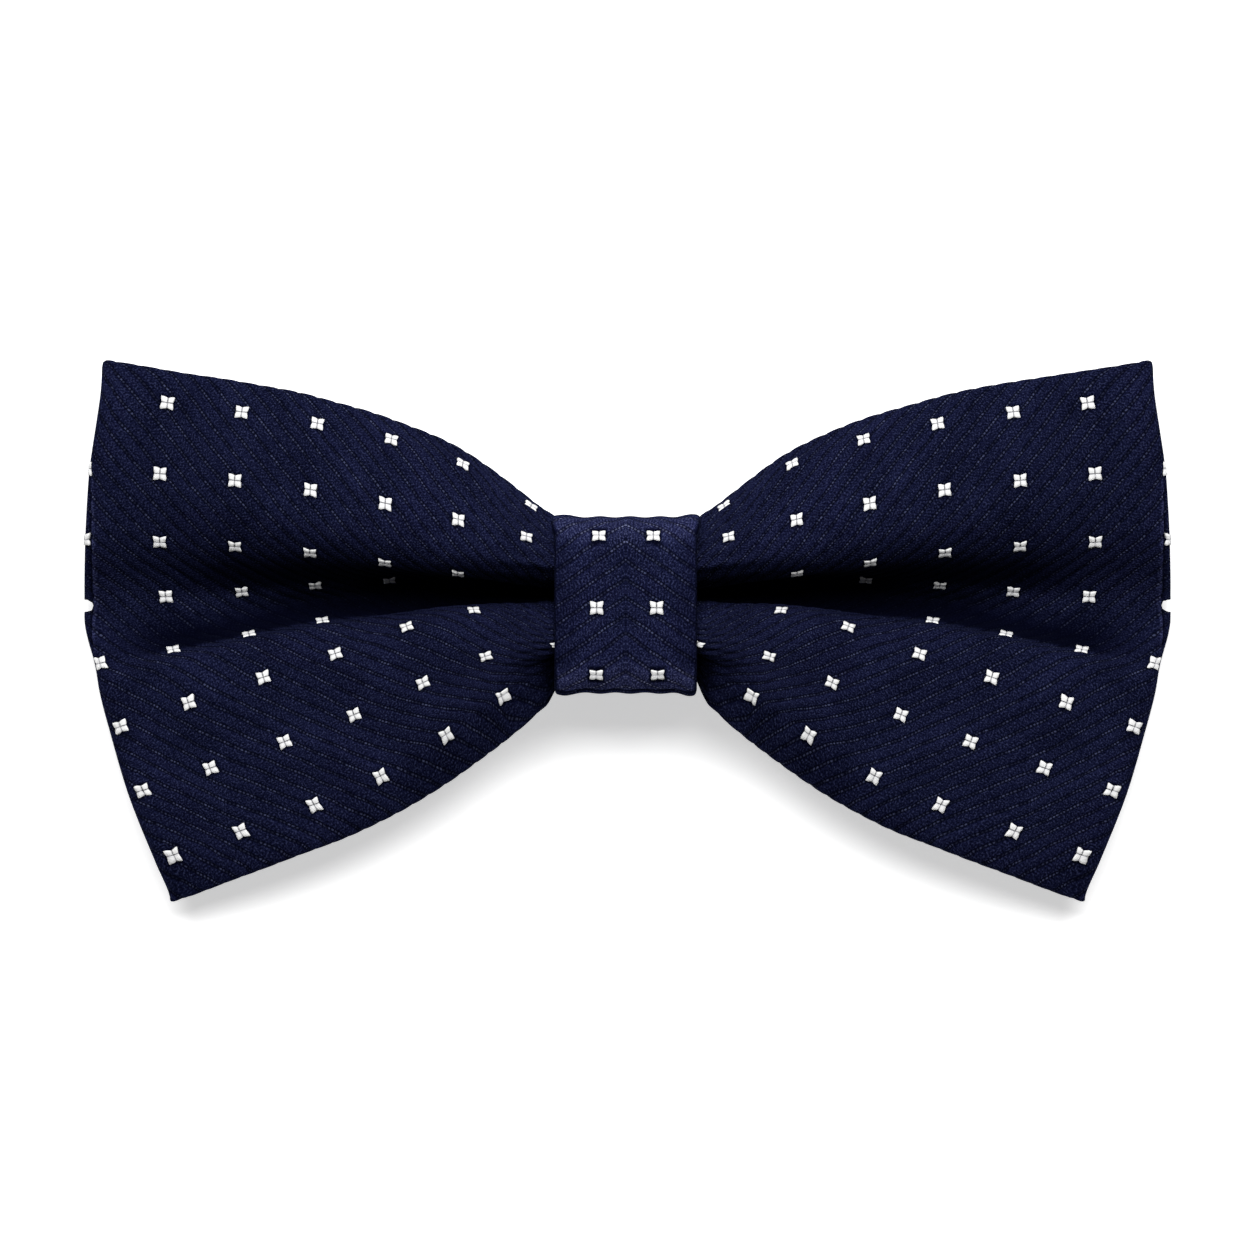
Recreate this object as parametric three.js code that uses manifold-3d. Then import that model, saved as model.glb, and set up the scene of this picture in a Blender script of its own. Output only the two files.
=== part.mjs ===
// Butterfly bow tie, ready-tied, lying on its back: +X along its width, +Y to its top, +Z out of its front.
// Origin: centre of the underside of its box. Millimetres.
// One cloth is folded to a flat tube with a slit along its back, pinched at the waist by a wrapped knot.
// A bent metal clip is threaded through the knot behind the waist.

import * as THREE from "three";
import { mergeVertices } from "three/addons/utils/BufferGeometryUtils.js";
import Module from "manifold-3d";

const wasm = await Module();
wasm.setup();

// Cloth
const clothThick = 1.0;
const foldRadius = 1.6; // outside radius of the rolls at the top, the bottom and the ends
const slitY = 2.9; // where the long edges meet behind
const slitWidth = 1.1;
const slitCutBelow = 0.8; // how far the cut of the slit reaches past the outside of the back sheet
const slitCutAbove = 1.35; // and into the hollow
const notchX = 59.2; // the slit shows as a notch in the end fold from here outwards
const notchWidth = 1.6;
const mergeDistance = 0.04; // corners that a cut leaves closer than this are merged

// Knot
const knotY = 3.1;
const knotHalfWidth = 7.9;
const knotHalfHeight = 9.8;
const knotBackZ = 2.3;
const knotFrontZ = 19.4;
const knotThick = 1.4;
const knotCrown = 0.5; // how far the middle of the band stands out past its edges
const knotSquareness = 4; // power of the superellipse that the band follows

// Clip
const clipThick = 0.8;
const clipWidth = 8;
const clipLeafZ = 4.9; // middle of the leaf that passes through the knot
const clipBendX = 9.8;
const clipArmTipX = 1.5;

// Waist, inside the knot
const waistHalfX = 7.9;
const waistShrinkY = 0.74; // of the height that the cloth has just outside the knot
const waistShrinkZ = 0.93;
const waistBackZ = 5.7;

// Places along the wing. cloth is the distance along the cloth from the middle of the waist, x the place of
// a straight thread there, lean how much of each fold's lean it takes, back the height of the back sheet.
const stations = {
  mouth: { cloth: 9.7, x: 9.0, lean: 0, back: 6.3 },
  inner: { cloth: 20.5, x: 18.6, lean: 0.55, back: 4.4 },
  middle: { cloth: 37.7, x: 34.9, lean: 0.9, back: 0.1 },
  outer: { cloth: 54.9, x: 51.5, lean: 1.03, back: 0 },
};
const endCloth = 63.5;

// Lines that run along the wing over its front, from top to bottom. lean is how far each is drawn in to the
// knot. The Y and Z columns give the place of each line at the end fold and at the stations above.
const foldColumns = [
  "name", "lean", "endX", "endY", "endZ", "outerY", "outerZ",
  "middleY", "middleZ", "innerY", "innerZ", "mouthY", "mouthZ",
];
const foldTable = [
  ["top fold", 1.3, 57.7, 29.7, 6.6, 28.7, 8.2, 25.6, 9.0, 19.6, 9.6, 13.0, 10.6],
  ["upper brow", 0.9, 58.1, 26.4, 8.8, 25.2, 11.0, 22.9, 12.8, 18.3, 13.4, 12.5, 14.4],
  ["upper crown", 0.1, 59.3, 18.0, 9.2, 17.4, 11.7, 15.6, 15.4, 12.3, 17.6, 9.9, 18.2],
  ["upper slope", 0, 59.8, 10.2, 8.4, 9.9, 9.2, 8.7, 12.6, 6.2, 15.4, 5.8, 16.8],
  ["valley top", 0.5, 60, 3.9, 4.9, 3.9, 4.7, 5.1, 6.4, 4.3, 9.8, 4.3, 11.8],
  ["valley floor", 0.9, 59.9, 0.5, 4.7, 0.9, 4.8, 3.4, 4.0, 3.5, 7.8, 3.5, 9.6],
  ["lower wall", 1.4, 58.8, -3.6, 6.2, -2.0, 8.4, 1.5, 7.2, 2.9, 10.0, 2.8, 11.8],
  ["lower lip", 2.0, 58.2, -6.8, 7.8, -3.8, 10.4, 0.4, 10.6, 2.7, 13.2, 2.3, 15.2],
  ["lower cheek", 3.1, 57.1, -10.9, 8.7, -7.8, 11.3, -2.4, 12.7, 1.9, 15.6, 1.0, 17.4],
  ["lower crown", 5.4, 55.0, -18.0, 9.0, -15.0, 11.4, -9.1, 14.4, -2.6, 17.0, -2.4, 17.9],
  ["lower brow", 8.6, 52.1, -25.3, 8.4, -21.9, 10.3, -15.8, 12.4, -6.9, 14.2, -6.0, 14.4],
  ["bottom fold", 10.4, 50.1, -29.7, 6.2, -26.3, 8.0, -19.6, 9.0, -11.3, 9.6, -7.2, 10.6],
];
const folds = foldTable.map((row) => Object.fromEntries(foldColumns.map((name, i) => [name, row[i]])));

// How finely the cloth is divided: rows counted in folds, where each of the two rolls takes two more,
// and columns of one wing as distances along the cloth
const rollRows = 2;
const rollShare = 0.16; // of half the back's rows
const sheetRows = [0, 1, 2, 3, 3.5, 4, 4.35, 4.7, 5, 5.35, 5.7, 6, 6.5, 7, 7.5, 8, 8.5, 9, 9.5, 10, 10.5, 11,
  11.5, 12, 12.5, 13, 14, 15];
const wingColumns = [9.7, 11.5, 14, 17, 20.5, 24.5, 29, 33.5, 38, 42.5, 47, 51, 54.9, 58.5];
const endTurns = [0, 35, 65, 90]; // degrees round the end fold

// Cubic through the values at unevenly spaced knots, with three-point slopes
function smoothAt(knots, values, at) {
  const last = knots.length - 1;
  let i = 0;
  while (i < last - 1 && at > knots[i + 1]) i += 1;
  const rise = (k) => (values[k + 1] - values[k]) / (knots[k + 1] - knots[k]);
  const slope = (k) => {
    if (k === 0) return rise(0);
    if (k === last) return rise(last - 1);
    const before = knots[k] - knots[k - 1];
    const after = knots[k + 1] - knots[k];
    return (rise(k - 1) * after + rise(k) * before) / (before + after);
  };
  const span = knots[i + 1] - knots[i];
  const t = (at - knots[i]) / span;
  const bend = slope(i) * span * t * (1 - t) ** 2 - slope(i + 1) * span * t ** 2 * (1 - t);
  return values[i] * (1 + 2 * t) * (1 - t) ** 2 + values[i + 1] * t ** 2 * (3 - 2 * t) + bend;
}

// Place in the folds of a row at the end, where nothing is rolled: the rows of a roll are spread up to the
// next fold
function foldAtEnd(row) {
  const fromBottom = sheetRows.at(-1) - row;
  const spread = rollRows + 1;
  if (row < spread) return row / spread;
  if (fromBottom < spread) return folds.length - 1 - fromBottom / spread;
  return row - rollRows;
}

// Front of one station down the folds, with the top and bottom folds rolled over
function frontCurve(name) {
  const station = stations[name];
  const points = folds.map((f) => {
    const x = station ? station.x - f.lean * station.lean : f.endX;
    return new THREE.Vector3(x, f[`${name}Y`], f[`${name}Z`]);
  });
  if (!station) return new THREE.CatmullRomCurve3(points, false, "centripetal");
  const top = foldRoll(points[0], points[1], 1);
  const low = foldRoll(points.at(-1), points.at(-2), -1);
  const rolled = [points[0], ...top, ...points.slice(1, -1), ...low.reverse(), points.at(-1)];
  return new THREE.CatmullRomCurve3(rolled, false, "centripetal");
}

// The two points that carry a fold's roll from its outermost point onto the front; side is 1 at the top fold
function foldRoll(edge, next, side) {
  const toNext = new THREE.Vector2(next.y - edge.y, next.z - edge.z).normalize();
  const inward = new THREE.Vector2(-side, 0).add(toNext).normalize();
  const outward = new THREE.Vector2(side * inward.y, Math.abs(inward.x));
  return [Math.PI / 4, Math.PI / 2].map((turn) => {
    const across = foldRadius * (1 - Math.cos(turn));
    const up = foldRadius * Math.sin(turn);
    return new THREE.Vector3(
      edge.x,
      edge.y + inward.x * across + outward.x * up,
      edge.z + inward.y * across + outward.y * up,
    );
  });
}

// Point of the back sheet behind a point of the front: flat by the slit and turned up towards the two folds
function backPoint(front, edge, share, backZ) {
  const side = Math.sign(edge.y - slitY);
  const turn = (Math.min(1, (1 - share) / rollShare) * Math.PI) / 2;
  const flat = Math.min(1, share / (1 - rollShare));
  const y = flat < 1
    ? slitY + (edge.y - side * foldRadius - slitY) * flat
    : edge.y - side * foldRadius * (1 - Math.cos(turn));
  const z = flat < 1
    ? backZ + (edge.z - foldRadius - backZ) * flat ** 3
    : edge.z - foldRadius * Math.sin(turn);
  return new THREE.Vector3(front.x, y, Math.max(0, z));
}

// The sheets at one of the stations, as rows of points
function sheetsAt(name) {
  const curve = frontCurve(name);
  if (name === "end") {
    const edge = sheetRows.map((row) => curve.getPoint(foldAtEnd(row) / (folds.length - 1)));
    return { front: edge, back: edge.map((p) => p.clone().setZ(p.z - 2 * foldRadius)) };
  }
  const lastRow = sheetRows.at(-1);
  const front = sheetRows.map((row) => curve.getPoint(row / lastRow));
  const back = sheetRows.map((row, i) => {
    const edge = row < lastRow / 2 ? front[0] : front.at(-1);
    return backPoint(front[i], edge, Math.abs(1 - (2 * row) / lastRow), stations[name].back);
  });
  return { front, back };
}

// The waist is the mouth's section drawn together towards its middle
function waistSheets(x) {
  const { front, back } = sheetsAt("mouth");
  const draw = (p) => new THREE.Vector3(
    x,
    knotY + (p.y - knotY) * waistShrinkY,
    waistBackZ + (p.z - stations.mouth.back) * waistShrinkZ,
  );
  return { front: front.map(draw), back: back.map(draw) };
}

// Closed loops of points from the waist to the end fold: down the front and up the back
function wingLoops() {
  const names = ["mouth", "inner", "middle", "outer", "end"];
  const sheets = names.map(sheetsAt);
  const knots = [...names.slice(0, -1).map((name) => stations[name].cloth), endCloth];
  const rows = [...sheetRows.keys()];
  const along = (side, row, at) => {
    const pick = (axis) => smoothAt(knots, sheets.map((sheet) => sheet[side][row][axis]), at);
    return new THREE.Vector3(pick("x"), pick("y"), Math.max(0, pick("z")));
  };
  const waist = [0, 0.5, 1].map((share) => waistSheets(waistHalfX * share));
  const wing = wingColumns.map((at) => ({
    front: rows.map((row) => along("front", row, at)),
    back: rows.map((row) => along("back", row, at)),
  }));
  // Round the end fold the two sheets close on their middle line
  const end = endTurns.map((degrees) => {
    const turn = THREE.MathUtils.degToRad(degrees);
    const pairs = rows.map((row) => {
      const at = endCloth - foldRadius * (1 - Math.sin(turn));
      const [front, back] = ["front", "back"].map((side) => along(side, row, at));
      const middle = front.clone().lerp(back, 0.5);
      const x = sheets.at(-1).front[row].x - foldRadius * (1 - Math.sin(turn));
      return [front, back].map((p) => middle.clone().lerp(p, Math.cos(turn)).setX(x));
    });
    return { front: pairs.map((pair) => pair[0]), back: pairs.map((pair) => pair[1]) };
  });
  return [...waist, ...wing, ...end].map(({ front, back }) => [...front, ...back.slice(1, -1).reverse()]);
}

// Solid skin over a run of loops whose two last loops are folded flat
function skin(loops) {
  const count = loops[0].length;
  const points = loops.flat().flatMap((p) => [p.x, p.y, p.z]);
  const faces = [];
  for (let i = 0; i + 1 < loops.length; i += 1) {
    for (let j = 0; j < count; j += 1) {
      const next = (j + 1) % count;
      const [a, b, c, d] = [i * count + j, i * count + next, (i + 1) * count + next, (i + 1) * count + j];
      faces.push(a, b, c, a, c, d);
    }
  }
  const geometry = new THREE.BufferGeometry();
  geometry.setAttribute("position", new THREE.Float32BufferAttribute(points, 3));
  geometry.setIndex(faces);
  return dropEmptyFaces(mergeVertices(geometry, 1e-4));
}

// Faces that a merge has left with two corners alike are taken out
function dropEmptyFaces(geometry) {
  const index = geometry.index.array;
  const kept = [];
  for (let i = 0; i < index.length; i += 3) {
    const [a, b, c] = [index[i], index[i + 1], index[i + 2]];
    if (a !== b && b !== c && c !== a) kept.push(a, b, c);
  }
  geometry.setIndex(kept);
  return geometry;
}

// The inner face of a wall: the loops moved inwards, with the flat ones at both end folds drawn in as pairs
function insetLoops(loops, depth) {
  const count = loops[0].length;
  const last = loops.length - 1;
  return loops.map((loop, i) => {
    const fromEnd = Math.min(i, last - i);
    if (fromEnd < endTurns.length) {
      const heights = loop.map((p) => p.y);
      const low = Math.min(...heights) + depth;
      const high = Math.max(...heights) - depth;
      return loop.map((p, j) => {
        const middle = p.clone().add(loop[(count - j) % count]).multiplyScalar(0.5);
        const inner = middle.lerp(p, 1 - depth / foldRadius);
        const x = p.x - Math.sign(p.x) * depth;
        return new THREE.Vector3(x, THREE.MathUtils.clamp(inner.y, low, high), inner.z);
      });
    }
    return loop.map((p, j) => {
      const around = loop[(j + 1) % count].clone().sub(loop[(j + count - 1) % count]);
      const along = loops[i + 1][j].clone().sub(loops[i - 1][j]);
      return p.clone().addScaledVector(around.cross(along).normalize(), -depth);
    });
  });
}

// Triangles to a solid that can be cut, and back
function toSolid(geometry) {
  const vertProperties = new Float32Array(geometry.attributes.position.array);
  const triVerts = new Uint32Array(geometry.index.array);
  return new wasm.Manifold(new wasm.Mesh({ numProp: 3, vertProperties, triVerts }));
}

function fromSolid(solid) {
  const mesh = solid.getMesh();
  const geometry = new THREE.BufferGeometry();
  geometry.setAttribute("position", new THREE.Float32BufferAttribute(mesh.vertProperties, 3));
  geometry.setIndex([...mesh.triVerts]);
  return geometry;
}

function boxSolid(low, high) {
  const box = new THREE.BoxGeometry(high.x - low.x, high.y - low.y, high.z - low.z);
  box.translate((low.x + high.x) / 2, (low.y + high.y) / 2, (low.z + high.z) / 2);
  box.deleteAttribute("normal");
  box.deleteAttribute("uv");
  return toSolid(mergeVertices(box));
}

// Bar that follows the back sheet from end to end and cuts the slit
function slitCutter(loops) {
  const line = loops.map((loop) => {
    const back = loop.slice(sheetRows.length);
    return back.reduce((a, b) => (Math.abs(b.y - slitY) < Math.abs(a.y - slitY) ? b : a));
  });
  const past = (p) => p.clone().setX(p.x + Math.sign(p.x) * 2 * foldRadius);
  const path = [past(line[0]), ...line.slice(1, -1), past(line.at(-1))];
  const half = slitWidth / 2;
  const rings = path.map(({ x, z }) => [
    new THREE.Vector3(x, slitY - half, z - slitCutBelow),
    new THREE.Vector3(x, slitY + half, z - slitCutBelow),
    new THREE.Vector3(x, slitY + half, z + slitCutAbove),
    new THREE.Vector3(x, slitY - half, z + slitCutAbove),
  ]);
  const closed = (ring) => ring.map(() => ring[0].clone().lerp(ring[2], 0.5));
  return toSolid(skin([closed(rings[0]), ...rings, closed(rings.at(-1))]));
}

// Hollow cloth: both wings and the waist, open along the slit behind and notched at both ends of it
function bowCloth() {
  const right = wingLoops();
  const left = right.slice(1).map((loop) => loop.map((p) => new THREE.Vector3(-p.x, p.y, p.z))).reverse();
  const loops = [...left, ...right];
  const hollow = toSolid(skin(loops)).subtract(toSolid(skin(insetLoops(loops, clothThick))));
  const reach = notchX + 2 * foldRadius;
  const half = notchWidth / 2;
  const notches = [-1, 1].map((side) => {
    const xs = [side * notchX, side * reach].sort((a, b) => a - b);
    return boxSolid(
      new THREE.Vector3(xs[0], slitY - half, -clothThick),
      new THREE.Vector3(xs[1], slitY + half, knotFrontZ),
    );
  });
  const cut = [slitCutter(loops), ...notches].reduce((cloth, cutter) => cloth.subtract(cutter), hollow);
  return fromSolid(cut.asOriginal().simplify(mergeDistance));
}

// Band wrapped round the waist: a flat rounded section carried round a superellipse
function knotWrap() {
  const halfZ = (knotFrontZ - knotBackZ) / 2;
  const middleZ = (knotFrontZ + knotBackZ) / 2;
  const turns = 40;
  const edge = knotThick / 2;
  const profile = [];
  const flat = knotHalfWidth - edge;
  for (const share of [-1, -0.7, -0.35, 0, 0.35, 0.7, 1]) {
    profile.push({ x: share * flat, out: edge + knotCrown * (1 - share ** 2) });
  }
  for (const degrees of [45, 0, -45]) {
    const a = THREE.MathUtils.degToRad(degrees);
    profile.push({ x: flat + edge * Math.cos(a), out: edge * Math.sin(a) });
  }
  for (const share of [1, 0, -1]) profile.push({ x: share * flat, out: -edge });
  for (const degrees of [-45, 0, 45]) {
    const a = THREE.MathUtils.degToRad(degrees);
    profile.push({ x: -flat - edge * Math.cos(a), out: edge * Math.sin(a) });
  }
  const round = (value) => Math.sign(value) * Math.abs(value) ** (2 / knotSquareness);
  const rings = [];
  for (let k = 0; k < turns; k += 1) {
    const a = (k / turns) * 2 * Math.PI;
    const centre = new THREE.Vector2(
      (knotHalfHeight - knotCrown - edge) * round(Math.cos(a)),
      (halfZ - knotCrown - edge) * round(Math.sin(a)),
    );
    const outward = new THREE.Vector2(
      Math.sign(centre.x) * (Math.abs(centre.x) / knotHalfHeight) ** (knotSquareness - 1) / knotHalfHeight,
      Math.sign(centre.y) * (Math.abs(centre.y) / halfZ) ** (knotSquareness - 1) / halfZ,
    ).normalize();
    rings.push(profile.map((p) => new THREE.Vector3(
      p.x,
      knotY + centre.x + outward.x * p.out,
      middleZ + centre.y + outward.y * p.out,
    )));
  }
  return skin([...rings, rings[0]].reverse());
}

// Strip bent to a flat C: a leaf through the knot and two arms behind it
function collarClip() {
  const radius = (clipLeafZ - clipThick / 2) / 2;
  const middle = radius + clipThick / 2;
  const outer = radius + clipThick / 2;
  const inner = radius - clipThick / 2;
  const outline = new THREE.Shape();
  outline.moveTo(clipArmTipX, 0);
  outline.lineTo(clipBendX, 0);
  outline.absarc(clipBendX, middle, outer, -Math.PI / 2, Math.PI / 2, false);
  outline.lineTo(-clipBendX, middle + outer);
  outline.absarc(-clipBendX, middle, outer, Math.PI / 2, (3 * Math.PI) / 2, false);
  outline.lineTo(-clipArmTipX, 0);
  outline.lineTo(-clipArmTipX, clipThick);
  outline.lineTo(-clipBendX, clipThick);
  outline.absarc(-clipBendX, middle, inner, (3 * Math.PI) / 2, Math.PI / 2, true);
  outline.lineTo(clipBendX, middle + inner);
  outline.absarc(clipBendX, middle, inner, Math.PI / 2, -Math.PI / 2, true);
  outline.lineTo(clipArmTipX, clipThick);
  outline.closePath();
  const settings = { depth: clipWidth, bevelEnabled: false, curveSegments: 8 };
  const strip = new THREE.ExtrudeGeometry(outline, settings);
  strip.rotateX(Math.PI / 2);
  strip.translate(0, knotY + clipWidth / 2, 0);
  return strip;
}

function material(color, roughness, metalness) {
  return new THREE.MeshStandardMaterial({ color, roughness, metalness, side: THREE.FrontSide });
}

const navyCloth = material(0x15182d, 0.62, 0);
const knotCloth = material(0x181b33, 0.62, 0);
const steel = material(0xb8bcc2, 0.35, 1);

const bowTie = new THREE.Group();
for (const [name, geometry, finish] of [
  ["bow_cloth", bowCloth(), navyCloth],
  ["knot_wrap", knotWrap(), knotCloth],
  ["collar_clip", collarClip(), steel],
]) {
  const mesh = new THREE.Mesh(geometry, finish);
  mesh.name = name;
  bowTie.add(mesh);
}

export default bowTie;
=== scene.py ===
# Butterfly bow tie lying on its back: one ribbed cloth folded to two wings, a wrapped knot, woven stars
# and a bent metal clip. Sizes in the settings are millimetres, and the meshes are made in metres.
import math

import bpy
import numpy as np
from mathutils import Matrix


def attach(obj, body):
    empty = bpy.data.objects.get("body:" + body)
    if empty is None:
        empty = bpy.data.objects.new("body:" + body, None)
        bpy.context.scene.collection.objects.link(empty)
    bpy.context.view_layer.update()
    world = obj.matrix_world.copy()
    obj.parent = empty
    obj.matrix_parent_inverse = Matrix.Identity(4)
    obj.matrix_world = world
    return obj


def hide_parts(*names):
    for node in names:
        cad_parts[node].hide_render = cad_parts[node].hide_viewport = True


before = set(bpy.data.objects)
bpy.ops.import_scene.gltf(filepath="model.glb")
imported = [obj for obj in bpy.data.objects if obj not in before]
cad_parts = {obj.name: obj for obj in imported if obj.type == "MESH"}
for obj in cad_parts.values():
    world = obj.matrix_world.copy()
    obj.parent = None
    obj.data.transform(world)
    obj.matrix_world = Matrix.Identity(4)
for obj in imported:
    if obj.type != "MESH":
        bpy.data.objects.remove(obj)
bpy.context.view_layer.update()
mm = 0.001
rightAngle = math.pi / 2

# The wings' places along the cloth: distance from the middle of the waist, x of a straight thread there,
# how much of each fold's lean it takes, and the height of the back sheet
stations = {
    "mouth": {"cloth": 9.7, "x": 9.0, "lean": 0, "back": 6.3},
    "inner": {"cloth": 20.5, "x": 18.6, "lean": 0.55, "back": 4.4},
    "middle": {"cloth": 37.7, "x": 34.9, "lean": 0.9, "back": 0.1},
    "outer": {"cloth": 54.9, "x": 51.5, "lean": 1.03, "back": 0},
    "end": {"cloth": 63.5},
}
# Lines that run along the wing over its front. across is the place of each in the flat cloth, down from the
# top, and toEnd the cloth between the outer station and the end fold.
foldColumns = [
    "across", "toEnd", "lean", "endX", "endY", "endZ", "outerY", "outerZ",
    "middleY", "middleZ", "innerY", "innerZ", "mouthY", "mouthZ",
]
foldTable = {
    "top fold": [-1.8, 7.0, 1.3, 58.0, 30.0, 6.6, 28.7, 8.2, 25.6, 9.0, 19.6, 9.6, 13.0, 10.6],
    "upper brow": [3.4, 7.2, 0.9, 58.1, 26.4, 8.8, 25.2, 11.0, 22.9, 12.8, 18.5, 13.4, 12.8, 14.4],
    "upper crown": [11.28, 7.9, 0.1, 59.3, 18.0, 9.2, 17.4, 11.7, 15.6, 15.4, 12.3, 17.6, 9.9, 18.2],
    "upper shoulder": [15.2, 8.05, 0, 59.6, 14.1, 8.9, 13.6, 10.9, 11.7, 15.4, 8.6, 17.9, 7.4, 18.2],
    "upper slope": [19.16, 8.2, 0, 59.8, 10.2, 8.4, 9.9, 9.2, 8.7, 12.9, 6.4, 15.0, 5.1, 13.0],
    "valley top": [27.04, 9.0, 0.5, 60.0, 3.9, 4.9, 3.9, 4.5, 5.1, 5.3, 5.9, 7.4, 4.9, 9.0],
    "valley floor": [31.0, 9.1, 0.9, 59.9, 0.5, 4.7, 0.3, 4.5, 3.4, 3.1, 4.3, 6.2, 4.2, 7.6],
    "lower wall": [34.92, 9.2, 1.4, 58.8, -3.6, 6.2, -2.0, 8.3, 1.2, 6.6, 2.5, 8.0, 3.4, 9.4],
    "lower lip": [38.4, 9.5, 2.0, 58.2, -6.8, 7.8, -3.3, 10.6, 0.5, 10.9, 2.95, 12.4, 3.0, 13.6],
    "lower cheek": [42.8, 9.9, 3.1, 57.1, -10.9, 8.7, -7.8, 11.3, -2.4, 12.9, 2.4, 15.6, 1.0, 17.4],
    "lower crown": [50.68, 10.2, 5.4, 55.0, -18.0, 9.0, -15.0, 11.0, -9.1, 13.5, -2.7, 16.8, -1.5, 17.9],
    "lower brow": [58.56, 10.6, 8.6, 52.1, -25.3, 8.5, -21.9, 10.8, -15.8, 13.2, -7.0, 15.3, -4.4, 14.2],
    "bottom fold": [63.8, 10.8, 10.4, 50.6, -29.9, 6.2, -26.3, 8.0, -20.0, 9.0, -11.4, 9.6, -7.9, 10.6],
}
wing = {
    "thick": 1.0, "foldRadius": 1.6, "slitY": 2.9, "slitHalf": 0.45, "rollShare": 0.16,
    "notchHalf": 0.72, "notchColumns": 9, "notchPower": 0.16, "slitGive": 2.5,
    "cornerRound": 0.5, "cornerPower": 5, "cornerDraw": 0.4,
    "frontPitch": 0.34, "backPitch": 0.38, "alongPitch": 0.34, "turnColumns": 12, "innerEvery": 3,
    "tuckReach": 6.2, "searchFrom": 4.0, "mouthSlip": 0.3, "mouthLean": 0.71,
    # how the section is drawn in inside the knot: over what length and with what power
    "flareMiddle": (2.4, 2.4), "flareTop": (2.0, 2.0), "flareLow": (1.5, 1.1),
    "flareTopAt": (1.0, 7.0), "flareLowAt": (4.5, 10.0),
    "waistMiddle": 3.2, "waistY": 0.74, "waistZ": 0.93, "waistBack": 5.7,
    "ribDepth": 0.22, "waveHeight": 0.12, "relief": 0.12, "reliefFade": (1.0, 1.5),
    "creaseTop": 20.0, "creaseLow": -2.8, "creaseInset": 0.9, "creasePower": 0.8, "creaseFade": (0.05, 0.35),
    "creaseWidth": 0.2, "creaseDepth": 0.3, "ridgeInset": 0.36, "ridgeHeight": 0.12, "ridgeLight": 0.05,
}
# Painted shade where little light gets in, as places in the flat cloth. across gives where the shade
# starts, is full, starts to end and ends, and along where it starts and is full, towards the knot.
shadePlaces = [
    {"across": (19.8, 23.5, 25.5, 28.0), "along": (61.0, 43.0), "share": 0.8},
    {"across": (27.2, 32.0, 34.5, 35.4), "along": (66.0, 53.0), "share": 1.0},
    {"across": (19.8, 22.5, 34.6, 35.6), "along": (41.0, 30.0), "share": 1.0},
]
pleat = {
    "byKnot": 57.0, "away": 55.0, "from": 8.5, "to": 20.5, "fadeFrom": 0.3, "width": 1.4, "depth": 0.55,
    "below": 0.92, "shadeFrom": -1, "shadeTo": 1.5,
}
gather = {"pitch": 2.1, "height": 0.13, "reach": 6.0}
weave = {"ribPitch": 1.55, "knotRibPitch": 1.64}
star = {
    "along": 8.6, "across": 7.88, "firstAlong": 11.9, "firstAcross": 3.4, "columns": 7, "rows": (-3, 11),
    "halfWidth": 0.82, "halfHeight": 0.83, "height": 0.16, "edgeHeight": 0.7, "seamHeight": 0.75, "sunk": 0.2,
    "steps": (0, 0.14, 0.5, 0.86, 1), "seam": 0.01, "blunt": 0.05, "domeGain": 25, "domeHeight": 0.3,
    "notchSide": 0.82, "notchTop": 0.73, "notchPower": 2.1,
    "starShadeFrom": 0.8, "starShadeTo": 1.3, "slitRoom": 2.4, "hemRoom": 1.2, "underKnot": 1.9,
}
# Stars that the gathers by the knot and the valley take in, by column from the knot and line of the table
hiddenStars = {
    0: ("upper slope", "valley top", "lower wall", "lower cheek"), 1: ("valley top",), 2: ("lower wall",),
}


def smoothStep(low, high, x):
    # 0 below low, 1 above high, and 3t^2 - 2t^3 of the share t between them
    t = np.clip((x - low) / (high - low), 0, 1)
    return t * t * (3 - 2 * t)


def hermite(a, b, slopeA, slopeB, f):
    # Cubic from a to b as f goes from 0 to 1, with a slope at each end
    bend = slopeA * f * (1 - f) ** 2 - slopeB * f ** 2 * (1 - f)
    return a * (1 + 2 * f) * (1 - f) ** 2 + b * f ** 2 * (3 - 2 * f) + bend


def catmullRom(points, t):
    # Centripetal Catmull-Rom curve through the points (n, 3), at the places t counted in points
    padded = np.vstack([2 * points[0] - points[1], points, 2 * points[-1] - points[-2]])
    i = np.clip(np.floor(t).astype(int), 0, len(points) - 2)
    p0, p1, p2, p3 = (padded[i + k] for k in range(4))
    d0, d1, d2 = (np.linalg.norm(b - a, axis=1)[:, None] ** 0.5 for a, b in ((p0, p1), (p1, p2), (p2, p3)))
    slope1 = ((p1 - p0) / d0 - (p2 - p0) / (d0 + d1) + (p2 - p1) / d1) * d1
    slope2 = ((p2 - p1) / d1 - (p3 - p1) / (d1 + d2) + (p3 - p2) / d2) * d1
    return hermite(p1, p2, slope1, slope2, (t - i)[:, None])


def alongCurve(knots, values, at):
    # Cubic through values (k, n, 3) at the places at (n), with slopes from the three points round each knot
    knots = np.asarray(knots, float)
    gaps = np.diff(knots)[:, None, None]
    rise = np.diff(values, axis=0) / gaps
    inner = (rise[:-1] * gaps[1:] + rise[1:] * gaps[:-1]) / (gaps[1:] + gaps[:-1])
    slopes = np.concatenate([rise[:1], inner, rise[-1:]])
    i = np.clip(np.searchsorted(knots, at, "right") - 1, 0, len(knots) - 2)
    n = np.arange(len(at))
    span = np.diff(knots)[i][:, None]
    f = (at - knots[i])[:, None] / span
    return hermite(values[i, n], values[i + 1, n], slopes[i, n] * span, slopes[i + 1, n] * span, f)


def arcLength(points):
    # Running sum of the distances from point to point
    return np.concatenate([[0], np.cumsum(np.linalg.norm(np.diff(points, axis=0), axis=1))])


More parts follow.
